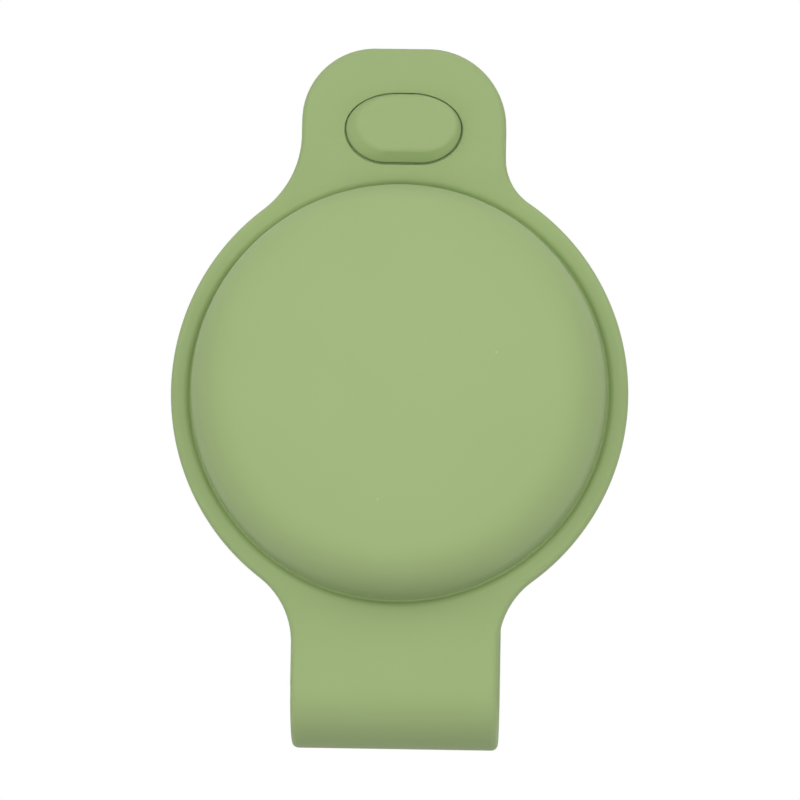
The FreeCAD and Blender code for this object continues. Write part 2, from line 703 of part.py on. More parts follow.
battery_cover = lathe(
    "battery_cover",
    [
        ("0", BACK),
        (COVER_R, BACK),
        (COVER_R, depth("cover_thickness")),
        (SKIRT_R, depth("cover_thickness")),
        (SKIRT_R, depth(SKIRT_END)),
        (f"{SKIRT_R} - skirt_wall", depth(SKIRT_END)),
        (f"{SKIRT_R} - skirt_wall", depth("cover_thickness")),
        ("0", depth("cover_thickness")),
    ],
)
lug_sketch = new_sketch(battery_cover, "lug_profile", "XY_Plane")
lug_back = "rim_thickness + lug_gap"
lug_front = "rim_thickness + lug_gap + lug_thickness"
add_polygon(
    lug_sketch,
    [
        (f"{SKIRT_R} - skirt_wall / 2", depth(lug_back)),
        (LUG_R, depth(lug_back)),
        (LUG_R, depth(lug_front)),
        (f"{SKIRT_R} - skirt_wall / 2", depth(lug_front)),
    ],
)
lug = turn_profile(battery_cover, "lug", lug_sketch, angle="lug_angle")
repeat_round(battery_cover, "lugs", lug, LUG_COUNT)
coin_slot = new_sketch(battery_cover, "coin_slot_outline", "XZ_Plane", "collar_gap / 2")
add_stadium(coin_slot, "coin_slot_length", "coin_slot_width", "0")
cut(battery_cover, "coin_slot", coin_slot, "coin_slot_depth")

seal_in, seal_out = f"{SKIRT_R} - skirt_wall", SKIRT_R
cover_seal = lathe(
    "cover_seal",
    [
        (seal_in, depth(f"{SKIRT_END} + seat_gap")),
        (seal_out, depth(f"{SKIRT_END} + seat_gap")),
        (seal_out, depth(f"{SHELF} - seat_gap")),
        (seal_in, depth(f"{SHELF} - seat_gap")),
    ],
)

# Coin cell: can towards the cover, cap towards the board
CAN_IN = "(cell_diameter / 2 - can_wall)"
CRIMP_R = "(cell_diameter / 2 - crimp_width)"
CAN_END = f"({CELL_FRONT} - cell_shoulder)"
CAP_R = "(cell_diameter / 2 - crimp_width - can_wall)"
CAP_FOOT = f"({CELL_FRONT} - cell_shoulder - 2 * can_wall)"
cell_can = lathe(
    "cell_can",
    [
        ("0", depth(CELL_BACK)),
        (CAN_R, depth(CELL_BACK)),
        (CAN_R, depth(CAN_END)),
        (CRIMP_R, depth(CAN_END)),
        (CRIMP_R, depth(f"{CAN_END} - can_wall")),
        (CAN_IN, depth(f"{CAN_END} - can_wall")),
        (CAN_IN, depth(f"{CELL_BACK} + can_wall")),
        ("0", depth(f"{CELL_BACK} + can_wall")),
    ],
)
GASKET_OUT = f"({CAN_IN} - cell_slip)"
cell_gasket = lathe(
    "cell_gasket",
    [
        (f"{CAP_R} + cell_slip", depth(CAN_END)),
        (f"{CRIMP_R} - cell_slip", depth(CAN_END)),
        (f"{CRIMP_R} - cell_slip", depth(f"{CAN_END} - can_wall - cell_slip")),
        (GASKET_OUT, depth(f"{CAN_END} - can_wall - cell_slip")),
        (GASKET_OUT, depth(f"{CAP_FOOT} - 2 * can_wall")),
        (f"{GASKET_OUT} - can_wall / 2", depth(f"{CAP_FOOT} - 2 * can_wall")),
        (f"{GASKET_OUT} - can_wall / 2", depth(f"{CAP_FOOT} + cell_slip")),
        (f"{CAP_R} + cell_slip", depth(f"{CAP_FOOT} + cell_slip")),
    ],
)
CAP_RIM = f"({GASKET_OUT} - can_wall / 2 - cell_slip)"
cell_cap = lathe(
    "cell_cap",
    [
        ("0", depth(CELL_FRONT)),
        (f"{CAP_R} - can_wall", depth(CELL_FRONT)),
        (CAP_R, depth(f"{CELL_FRONT} - can_wall")),
        (CAP_R, depth(CAP_FOOT)),
        (CAP_RIM, depth(CAP_FOOT)),
        (CAP_RIM, depth(f"{CAP_FOOT} - can_wall")),
        (f"{CAP_R} - can_wall", depth(f"{CAP_FOOT} - can_wall")),
        (f"{CAP_R} - can_wall", depth(f"{CELL_FRONT} - 2 * can_wall")),
        (f"{CAP_R} - 2 * can_wall", depth(f"{CELL_FRONT} - can_wall")),
        ("0", depth(f"{CELL_FRONT} - can_wall")),
    ],
)
CATHODE_BACK = f"({CELL_BACK} + can_wall + cell_slip)"
CATHODE_FRONT = f"({CELL_BACK} + can_wall + cell_slip + cathode_thickness)"
SHEET_FRONT = f"({CELL_BACK} + can_wall + 2 * cell_slip + cathode_thickness + separator_thickness)"


def disc(name, radius, back, front):
    return lathe(
        name,
        [("0", depth(back)), (radius, depth(back)), (radius, depth(front)), ("0", depth(front))],
    )


def hoop(name, inside, outside, back, front):
    return lathe(
        name,
        [
            (inside, depth(back)),
            (outside, depth(back)),
            (outside, depth(front)),
            (inside, depth(front)),
        ],
    )


cell_cathode = disc("cell_cathode", f"{CAN_IN} - can_wall", CATHODE_BACK, CATHODE_FRONT)
cell_separator = disc("cell_separator", f"{CAN_IN} - can_wall", f"{CATHODE_FRONT} + cell_slip", SHEET_FRONT)
cell_anode = disc(
    "cell_anode",
    f"{CAP_R} - 2 * can_wall - cell_slip",
    f"{SHEET_FRONT} + cell_slip",
    f"{CELL_FRONT} - can_wall - cell_slip",
)

# Contacts: three sprung plates on the can's side, one bent leaf on the cell's cap
positive_contacts = new_body("positive_contacts")
side_sketch = new_sketch(positive_contacts, "side_contact_profile", "XY_Plane")
side_in, side_out = f"{CAN_R} + seat_gap", f"{CAN_R} + seat_gap + contact_sheet"
side_front = f"{CAN_END} - contact_sheet"
add_polygon(
    side_sketch,
    [
        (side_in, depth(f"{side_front} - contact_height")),
        (side_out, depth(f"{side_front} - contact_height")),
        (side_out, depth(side_front)),
        (side_in, depth(side_front)),
    ],
)
side_contact = turn_profile(positive_contacts, "side_contact", side_sketch, angle="contact_angle")
doc.recompute()

negative_contact = new_body("negative_contact")
leaf_sketch = new_sketch(negative_contact, "leaf_profile", "XY_Plane")
leaf_root = f"{WELL_END} - seat_gap"
leaf_tip = f"{CELL_FRONT} + seat_gap"
add_polygon(
    leaf_sketch,
    [
        ("-leaf_length / 2", depth(leaf_root)),
        ("-leaf_length / 6", depth(leaf_root)),
        ("leaf_length / 6", depth(f"{leaf_tip} + contact_sheet")),
        ("leaf_length / 2", depth(f"{leaf_tip} + contact_sheet")),
        ("leaf_length / 2", depth(leaf_tip)),
        ("leaf_length / 6", depth(leaf_tip)),
        ("-leaf_length / 6", depth(f"{leaf_root} - contact_sheet")),
        ("-leaf_length / 2", depth(f"{leaf_root} - contact_sheet")),
    ],
)
pad(negative_contact, "leaf", leaf_sketch, "leaf_width", symmetric=True)

# Board, its chips, antenna and sounder
BOARD_R = f"({CASE_R} - cap_wall - board_margin)"
BORE_IN = "(cup_diameter / 2 + cup_gap)"
circuit_board = hoop("circuit_board", BORE_IN, BOARD_R, BOARD_BACK, BOARD_FRONT)
antenna_in = f"{BOARD_R} + board_gap"
antenna_ring = hoop(
    "antenna_ring",
    antenna_in,
    f"{antenna_in} + antenna_width",
    BOARD_BACK,
    f"{BOARD_BACK} + antenna_height",
)
cup_in = "cup_diameter / 2 - cup_wall"
sounder_cup = lathe(
    "sounder_cup",
    [
        ("0", depth(BOARD_BACK)),
        ("cup_diameter / 2", depth(BOARD_BACK)),
        ("cup_diameter / 2", depth(f"{BOARD_BACK} + cup_height")),
        (cup_in, depth(f"{BOARD_BACK} + cup_height")),
        (cup_in, depth(f"{BOARD_BACK} + cup_wall")),
        ("0", depth(f"{BOARD_BACK} + cup_wall")),
    ],
)
magnet_back = f"{BOARD_BACK} + cup_wall + cell_slip"
magnet_r = f"{cup_in} - coil_wall - 2 * coil_gap"
sounder_magnet = disc("sounder_magnet", magnet_r, magnet_back, f"{magnet_back} + magnet_height")
voice_coil = hoop(
    "voice_coil",
    f"{cup_in} - coil_gap - coil_wall",
    f"{cup_in} - coil_gap",
    f"{COIL_FRONT} - coil_height",
    COIL_FRONT,
)
chip_r = f"(({BORE_IN} + {BOARD_R}) / 2)"
chips = []
for index, (angle, scale) in enumerate(zip(CHIP_ANGLES, CHIP_SCALES), start=1):
    chip = doc.addObject("Part::Box", f"chip_{index}")
    chip.setExpression("Length", bound(f"chip_length * {scale}"))
    chip.setExpression("Width", bound("chip_height"))
    chip.setExpression("Height", bound(f"chip_width * {scale}"))
    x_text = f"{chip_r} * cos({angle} deg) - chip_length * {scale} / 2"
    z_text = f"{chip_r} * sin({angle} deg) - chip_width * {scale} / 2"
    y_text = f"{depth(BOARD_FRONT)} - chip_height - cell_slip"
    chip.setExpression("Placement.Base.x", bound(x_text))
    chip.setExpression("Placement.Base.y", bound(y_text))
    chip.setExpression("Placement.Base.z", bound(z_text))
    chips.append(chip)
board_chips = doc.addObject("Part::Compound", "board_chips")
board_chips.Label = "board_chips"
board_chips.Links = chips
doc.recompute()
repeat_round(positive_contacts, "side_contacts", side_contact, LUG_COUNT)
doc.recompute()

pieces = [
    front_shell, strap_fold, rear_strap, closure_stud, tag_cap, tag_base, battery_cover, cover_seal,
    cell_can, cell_gasket, cell_cap, cell_cathode, cell_separator, cell_anode,
    positive_contacts, negative_contact, circuit_board, board_chips, antenna_ring,
    sounder_cup, sounder_magnet, voice_coil,
]
for item in doc.Objects:
    if "Invalid" in item.State or "Error" in item.State:
        raise RuntimeError(f"{item.Label} did not build: {item.State}")
os.makedirs("parts", exist_ok=True)
for piece in pieces:
    if piece.Shape.isNull() or not piece.Shape.isValid():
        raise RuntimeError(f"{piece.Label} has no valid shape")
    piece.Shape.exportStep(f"parts/{piece.Label}.step")
    print(piece.Label, len(piece.Shape.Solids), round(piece.Shape.Volume, 2))
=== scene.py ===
import json
import math

import bmesh
import bpy
from mathutils import Matrix, Vector


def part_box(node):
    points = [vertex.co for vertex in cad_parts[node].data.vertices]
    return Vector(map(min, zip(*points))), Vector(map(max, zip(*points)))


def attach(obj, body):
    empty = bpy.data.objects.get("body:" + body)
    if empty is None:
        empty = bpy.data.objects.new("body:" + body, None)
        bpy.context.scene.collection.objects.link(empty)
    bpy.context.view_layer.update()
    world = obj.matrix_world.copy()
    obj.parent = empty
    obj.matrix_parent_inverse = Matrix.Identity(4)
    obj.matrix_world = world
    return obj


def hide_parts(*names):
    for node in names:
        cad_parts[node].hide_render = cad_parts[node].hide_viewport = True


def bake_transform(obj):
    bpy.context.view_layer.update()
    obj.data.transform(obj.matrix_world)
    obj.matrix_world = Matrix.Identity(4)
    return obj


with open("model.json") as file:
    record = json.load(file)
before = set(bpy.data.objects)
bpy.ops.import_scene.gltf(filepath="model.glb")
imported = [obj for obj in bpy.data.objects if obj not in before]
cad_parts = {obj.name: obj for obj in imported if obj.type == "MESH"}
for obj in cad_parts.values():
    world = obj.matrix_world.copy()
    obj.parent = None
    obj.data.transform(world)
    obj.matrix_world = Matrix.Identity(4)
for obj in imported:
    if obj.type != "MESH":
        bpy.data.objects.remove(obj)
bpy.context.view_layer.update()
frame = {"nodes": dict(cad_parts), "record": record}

# Tracker tag holder, dressed. Shapes are drawn in millimetres and scaled to metres at the end.
# X is right, Y is back, Z is up, and the tag's axis runs along Y through the origin.
MM = 0.001
# Points closer than this, in millimetres, count as one
HAIR = 1e-4


def box_of(node):
    """Lowest and highest corner of a CAD node, in millimetres."""
    low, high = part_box(node)
    return Vector(low) / MM, Vector(high) / MM


# Sizes that the frame gives
shell_low, shell_high = box_of("front_shell")
fold_low, fold_high = box_of("strap_fold")
strap_low, strap_high = box_of("rear_strap")
stud_low, stud_high = box_of("closure_stud")
cap_high = box_of("tag_cap")[1]
FLANGE_R = shell_high.x
TAB_TOP = shell_high.z
CROWN_Y = shell_low.y
LIP_BACK = shell_high.y
TAG_R = cap_high.x
STRAP_HALF = fold_high.x
FOLD_R = strap_high.y
FOLD_Z = fold_low.z + FOLD_R
END_TOP = strap_high.z
STUD_Z = (stud_low.z + stud_high.z) / 2
STUD_FACE = stud_low.y
STUD_BACK = stud_high.y

# Sizes of the moulding, in millimetres and degrees. Most are the part's own. The dome's ease and
# draft, the valley, the tab's corners, the flares and the stretch follow the photograph more closely.
STRAP_THICK = 2.0
TAG_GAP = 0.1
SHELL_WALL = 1.15
DOME_EASE = -0.1
CROWN_R = 90.0
SHOULDER_R = 4.3
WALL_DRAFT = 4.0
VALLEY_R, VALLEY_LIP_R, VALLEY_SLOPE = 0.14, 0.62, 48.0
EDGE_R = 0.55
LIP_THICK = 1.0
LIP_ROUND = 0.25
WINDOW_R = 12.8
BOSS_TAPER = 2.0
TAB_HALF = 8.475
# The tab's left and right corner, and its left and right flare into the rim
TAB_CORNER = {-1: 6.0, 1: 6.5}
TAB_FLARE = {-1: 7.8, 1: 4.5}
# Flare into the leaf, and how much further the rim reaches up and down than sideways
LEAF_FLARE = 6.6
FLANGE_STRETCH = 0.28
# Width of the mesh's support loops, and the ridge of the parting line
SUPPORT = 0.25
PARTING_RISE = 0.03
PARTING_HALF = 0.07

DOME_R = TAG_R + TAG_GAP + SHELL_WALL + DOME_EASE
FRONT_Y = -FOLD_R
BACK_Y = -FOLD_R + STRAP_THICK
FOLD_IN = FOLD_R - STRAP_THICK

# Closure slot in the tab
SLOT_LENGTH, SLOT_WIDTH = 9.8, 6.0
THROAT_LENGTH, THROAT_WIDTH = 8.6, 4.8
RECESS_DEPTH = 0.6
SLOT_ROUND = 0.08
# Share of a slot's upper and lower side that stays straight; the rest is drawn into its oval ends
SLOT_STRAIGHT = {True: 0.32, False: 0.75}

# Closure stud. The shift and the lifts set its head aslant, as it sits in the photograph.
FOOT_LENGTH, FOOT_WIDTH, FOOT_DEPTH = 10.6, 6.4, 0.8
NECK_LENGTH, NECK_WIDTH = 8.2, 4.4
HEAD_LENGTH, HEAD_WIDTH, HEAD_HEIGHT = 9.54, 5.74, 1.5
FACE_LENGTH, FACE_WIDTH = 8.3, 4.6
FACE_ROUND = 0.25
FACE_SHIFT, FACE_LIFT = 0.3, 0.35
HEAD_LIFT, HEAD_WALL = 0.07, 0.5
STUD_ROUND = 0.06
STUD_GAP = 0.05

# Rear strap
BEND_R = 7.0
TAIL_LENGTH = 8.6
END_HALF = 7.3
END_CORNER = 5.6
TAPER_LEAD = 6.1

# Mesh density: steps round the tag's axis, round a slot, along the fold and the bends, and in each arc
TURNS = 480
RING_STEPS = 72
FOLD_STEPS = 32
BEND_STEPS = 24
CROWN_STEPS, SHOULDER_STEPS = 14, 26
HOLLOW_STEPS, LIP_STEPS = 12, 8
POCKET_STEPS, POCKET_CROWN_STEPS = 14, 8
EDGE_STEPS = 7
WINDOW_STEPS = 5
CORNER_STEPS = 24
FACE_STEPS = 6
BREAK_STEPS = 3

# Edges that turn by more than this stay sharp, in degrees
SHARP_ANGLE = 50
# The tab's flat faces lie above this angle, seen from the tag's axis, in degrees
TAB_ANGLE = 64


def finish_mesh(bm, name, material):
    """Turn a drawn mesh's faces outwards and make it a smooth object in metres."""
    bmesh.ops.recalc_face_normals(bm, faces=bm.faces)
    bmesh.ops.scale(bm, vec=(MM, MM, MM), verts=bm.verts)
    mesh = bpy.data.meshes.new(name)
    bm.to_mesh(mesh)
    bm.free()
    mesh.shade_smooth()
    mesh.set_sharp_from_angle(angle=math.radians(SHARP_ANGLE))
    mesh.materials.append(material)
    piece = bpy.data.objects.new(name, mesh)
    bpy.context.scene.collection.objects.link(piece)
    normals = piece.modifiers.new("even_normals", "WEIGHTED_NORMAL")
    normals.keep_sharp = True
    return piece


def line_to(bm, vert, x, y):
    """Draw a straight edge of a profile from a vertex, and return its far end."""
    end = bmesh.ops.extrude_vert_indiv(bm, verts=[vert])["verts"][0]
    end.co = (x, y, 0)
    return end


def arc_to(bm, vert, centre, degrees, steps):
    """Draw an arc of a profile from a vertex round a centre, and return its far end."""
    turned = bmesh.ops.spin(
        bm, geom=[vert], cent=(*centre, 0), axis=(0, 0, 1), angle=math.radians(degrees), steps=steps
    )
    return next(item for item in turned["geom_last"] if isinstance(item, bmesh.types.BMVert))


def ray_hit(angle, centre, radius, side):
    """Near (side -1) or far (side 1) crossing of a ray from the origin with a circle."""
    along = centre[0] * math.cos(angle) + centre[1] * math.sin(angle)
    reach = along ** 2 - centre[0] ** 2 - centre[1] ** 2 + radius ** 2
    return along + side * math.sqrt(max(0.0, reach))


def outline_reach(x, z, inset):
    """How far the plate's outline, moved in by inset, lies from the tag's axis towards (x, z)."""
    angle = math.atan2(abs(z), abs(x))
    side = -1 if x < 0 else 1
    half = TAB_HALF if z > 0 else STRAP_HALF
    flare_r = TAB_FLARE[side] if z > 0 else LEAF_FLARE
    rim_r = FLANGE_R + FLANGE_STRETCH * math.sin(angle) ** 2
    flare = (half + flare_r, math.sqrt((rim_r + flare_r) ** 2 - (half + flare_r) ** 2))
    if angle <= math.atan2(flare[1], flare[0]):
        return rim_r - inset
    if angle <= math.atan2(flare[1], half - inset):
        return ray_hit(angle, flare, flare_r + inset, -1)
    if z < 0:
        leaf_end = -FOLD_Z + EDGE_R
        return min((half - inset) / max(HAIR, math.cos(angle)), leaf_end / math.sin(angle))
    corner_r = TAB_CORNER[side]
    corner = (half - corner_r, TAB_TOP - corner_r)
    if angle <= math.atan2(corner[1], half - inset):
        return (half - inset) / math.cos(angle)
    if angle <= math.atan2(TAB_TOP - inset, corner[0]):
        return ray_hit(angle, corner, corner_r - inset, 1)
    return (TAB_TOP - inset) / math.sin(angle)


def slot_sides(length, width, upper):
    """Half of a slot's upper or lower straight side, and how far its rounded end reaches past it."""
    straight = (length - width) / 2 * SLOT_STRAIGHT[upper]
    return straight, length / 2 - straight


def slot_ring(bm, length, width, y, z):
    """Draw a closed slot outline in the plane at y, centred on height z, and return its vertices."""
    ring = bmesh.ops.create_circle(bm, segments=RING_STEPS, radius=1.0)["verts"]
    turn = Matrix.Rotation(math.pi / RING_STEPS, 3, "Z")
    bmesh.ops.rotate(bm, cent=(0, 0, 0), matrix=turn, verts=ring)
    for vert in ring:
        straight, end = slot_sides(length, width, vert.co.y > 0)
        side = math.copysign(straight, vert.co.x)
        vert.co = (side + vert.co.x * end, y, z + vert.co.y * width / 2)
    return ring


def ring_edges(ring):
    """Edges that join the vertices of a ring."""
    inside = set(ring)
    return list({edge for vert in ring for edge in vert.link_edges if edge.other_vert(vert) in inside})


def step_ring(bm, edges, length, width, y, z, past):
    """Extrude a slot outline to a plane at y, and fit it from its past length and width to new ones."""
    made = bmesh.ops.extrude_edge_only(bm, edges=edges)["geom"]
    for vert in (item for item in made if isinstance(item, bmesh.types.BMVert)):
        past_straight, past_end = slot_sides(*past, vert.co.z > z)
        straight, end = slot_sides(length, width, vert.co.z > z)
        out = math.copysign(1.0, vert.co.x)
        x = out * straight + (vert.co.x - out * past_straight) * end / past_end
        vert.co = (x, y, z + (vert.co.z - z) * width / past[1])
    return [item for item in made if isinstance(item, bmesh.types.BMEdge) and len(item.link_faces) == 1]


def open_face(bm, faces):
    """Take out a flat patch of faces and return the edges round it."""
    patch = set(faces)
    rim = [e for f in patch for e in f.edges if sum(other in patch for other in e.link_faces) == 1]
    bmesh.ops.delete(bm, geom=list(patch), context="FACES_ONLY")
    stray = [e for e in bm.edges if not e.link_faces and e not in set(rim)]
    bmesh.ops.delete(bm, geom=stray, context="EDGES")
    return rim


def fill_round(bm, rim, hole):
    """Fill a flat face between the edges round it and those of a hole in it."""
    bmesh.ops.triangle_fill(bm, edges=rim + hole, use_beauty=True, use_dissolve=False)


def round_off(bm, parts, radius, steps, affect="EDGES"):
    """Round edges or vertices of a drawn mesh."""
    bmesh.ops.bevel(
        bm, geom=parts, offset=radius, offset_type="OFFSET",
        affect=affect, segments=steps, profile=0.5, material=-1,
    )


def build_front(material):
    """Front of the moulding: dome, pocket, flange, tab with its slot, leaf and half of the fold."""
    bm = bmesh.new()
    wall_in = TAG_R + TAG_GAP
    lip_front = LIP_BACK - LIP_THICK
    mid_y = (FRONT_Y + BACK_Y) / 2
    inset_r = FLANGE_R - EDGE_R
    back_start = DOME_R + SUPPORT

    # The shoulder's circle touches the drafted wall and, from within, the crown's circle
    draft = math.radians(WALL_DRAFT)
    up_wall = Vector((-math.sin(draft), -math.cos(draft)))
    off_wall = Vector((math.cos(draft), -math.sin(draft)))
    crown_centre = Vector((0, CROWN_Y + CROWN_R))
    start = Vector((DOME_R, FRONT_Y)) - SHOULDER_R * off_wall - crown_centre
    along = start.dot(up_wall)
    climb = math.sqrt(along ** 2 - start.length_squared + (CROWN_R - SHOULDER_R) ** 2) - along
    shoulder = crown_centre + start + climb * up_wall
    crown_turn = math.degrees(math.asin(shoulder.x / (CROWN_R - SHOULDER_R)))
    pocket_r = SHOULDER_R - SHELL_WALL
    pocket_reach = CROWN_R - SHELL_WALL - pocket_r
    pocket_turn = math.asin((wall_in - pocket_r) / pocket_reach)
    pocket = crown_centre + pocket_reach * Vector((math.sin(pocket_turn), -math.cos(pocket_turn)))
    # Valley round the dome's foot: a hollow against the wall, then a lip that rounds over to the flange
    slope = math.radians(VALLEY_SLOPE)
    lip_y = FRONT_Y + VALLEY_LIP_R
    hollow_y = lip_y - (VALLEY_R + VALLEY_LIP_R) * math.cos(slope)
    hollow_x = DOME_R + (hollow_y - FRONT_Y) * math.tan(draft) + VALLEY_R / math.cos(draft)
    hollow = Vector((hollow_x, hollow_y))
    lip = Vector((hollow_x + (VALLEY_R + VALLEY_LIP_R) * math.sin(slope), lip_y))
    wall_foot = hollow - VALLEY_R * off_wall
    front_start = lip.x + SUPPORT / 4

    # Half section, from the crown over the flange's edge to the pocket's middle
    pen = bm.verts.new((0, CROWN_Y, 0))
    pen = arc_to(bm, pen, crown_centre, crown_turn, CROWN_STEPS)
    pen = arc_to(bm, pen, shoulder, 90 - WALL_DRAFT - crown_turn, SHOULDER_STEPS)
    pen = line_to(bm, pen, *wall_foot)
    pen = arc_to(bm, pen, hollow, WALL_DRAFT - 90 - VALLEY_SLOPE, HOLLOW_STEPS)
    pen = arc_to(bm, pen, lip, VALLEY_SLOPE, LIP_STEPS)
    pen = line_to(bm, pen, front_start, FRONT_Y)
    pen = line_to(bm, pen, inset_r - SUPPORT, FRONT_Y)
    pen = line_to(bm, pen, inset_r, FRONT_Y)
    pen = arc_to(bm, pen, (inset_r, FRONT_Y + EDGE_R), 90, EDGE_STEPS)
    pen = line_to(bm, pen, FLANGE_R, mid_y - PARTING_HALF)
    pen = line_to(bm, pen, FLANGE_R + PARTING_RISE, mid_y)
    pen = line_to(bm, pen, FLANGE_R, mid_y + PARTING_HALF)
    pen = line_to(bm, pen, FLANGE_R, BACK_Y - EDGE_R)
    pen = arc_to(bm, pen, (inset_r, BACK_Y - EDGE_R), 90, EDGE_STEPS)
    pen = line_to(bm, pen, inset_r - SUPPORT, BACK_Y)
    pen = line_to(bm, pen, back_start, BACK_Y)
    pen = line_to(bm, pen, DOME_R, BACK_Y)
    pen = line_to(bm, pen, DOME_R - BOSS_TAPER + SUPPORT, LIP_BACK - SUPPORT / 2)
    pen = line_to(bm, pen, DOME_R - BOSS_TAPER, LIP_BACK)
    pen = line_to(bm, pen, DOME_R - BOSS_TAPER - SUPPORT, LIP_BACK)
    pen = line_to(bm, pen, WINDOW_R + LIP_ROUND, LIP_BACK)
    pen = arc_to(bm, pen, (WINDOW_R + LIP_ROUND, LIP_BACK - LIP_ROUND), 90, WINDOW_STEPS)
    pen = line_to(bm, pen, WINDOW_R, lip_front)
    pen = line_to(bm, pen, wall_in, lip_front)
    pen = line_to(bm, pen, wall_in, pocket.y)
    pen = arc_to(bm, pen, pocket, math.degrees(pocket_turn) - 90, POCKET_STEPS)
    arc_to(bm, pen, crown_centre, -math.degrees(pocket_turn), POCKET_CROWN_STEPS)

    # Turn it round the tag's axis, then push the rim out to the tab and the leaf
    bmesh.ops.spin(
        bm, geom=bm.verts[:] + bm.edges[:], cent=(0, 0, 0), axis=(0, 1, 0),
        angle=math.tau, steps=TURNS, use_merge=True,
    )
    bmesh.ops.remove_doubles(bm, verts=bm.verts, dist=HAIR)
    rim_start = inset_r - SUPPORT - HAIR * 10
    for vert in bm.verts:
        radius = math.hypot(vert.co.x, vert.co.z)
        if radius > rim_start:
            reach = outline_reach(vert.co.x, vert.co.z, FLANGE_R - radius)
            vert.co.x *= reach / radius
            vert.co.z *= reach / radius

    # Cut the leaf off where the fold starts, and sweep its section round the fold
    sliced = bmesh.ops.bisect_plane(
        bm, geom=bm.verts[:] + bm.edges[:] + bm.faces[:], dist=HAIR,
        plane_co=(0, 0, FOLD_Z), plane_no=(0, 0, -1), clear_outer=True,
    )
    section = [item for item in sliced["geom_cut"] if isinstance(item, bmesh.types.BMEdge)]
    bmesh.ops.spin(
        bm, geom=section, cent=(0, 0, FOLD_Z), axis=(1, 0, 0),
        angle=math.pi / 2, steps=FOLD_STEPS,
    )
    bmesh.ops.remove_doubles(bm, verts=bm.verts, dist=HAIR)
    bmesh.ops.holes_fill(bm, edges=[edge for edge in bm.edges if edge.is_boundary], sides=0)

    # Slot through the tab, with a recess for the stud's head
    def tab_patch(y, start):
        """Flat faces of the tab at y that reach out from a circle of radius start."""
        least = start * math.sin(math.radians(TAB_ANGLE))
        flat = [f for f in bm.faces if all(abs(v.co.y - y) < HAIR for v in f.verts)]
        return [
            f for f in flat
            if f.calc_center_median().z > least
            and abs(min(math.hypot(v.co.x, v.co.z) for v in f.verts) - start) < SUPPORT / 8
        ]

    seat_y = FRONT_Y + RECESS_DEPTH
    rim = open_face(bm, tab_patch(FRONT_Y, front_start))
    mouth = slot_ring(bm, SLOT_LENGTH, SLOT_WIDTH, FRONT_Y, STUD_Z)
    mouth_edges = ring_edges(mouth)
    fill_round(bm, rim, mouth_edges)
    slot = (SLOT_LENGTH, SLOT_WIDTH)
    throat = (THROAT_LENGTH, THROAT_WIDTH)
    seat_edges = step_ring(bm, mouth_edges, *slot, seat_y, STUD_Z, slot)
    throat_edges = step_ring(bm, seat_edges, *throat, seat_y, STUD_Z, slot)
    back_edges = step_ring(bm, throat_edges, *throat, BACK_Y, STUD_Z, throat)
    rim = open_face(bm, tab_patch(BACK_Y, back_start))
    fill_round(bm, rim, back_edges)
    bmesh.ops.recalc_face_normals(bm, faces=bm.faces)
    round_off(bm, mouth_edges + throat_edges + back_edges, SLOT_ROUND, BREAK_STEPS)
    return finish_mesh(bm, "silicone_front", material)


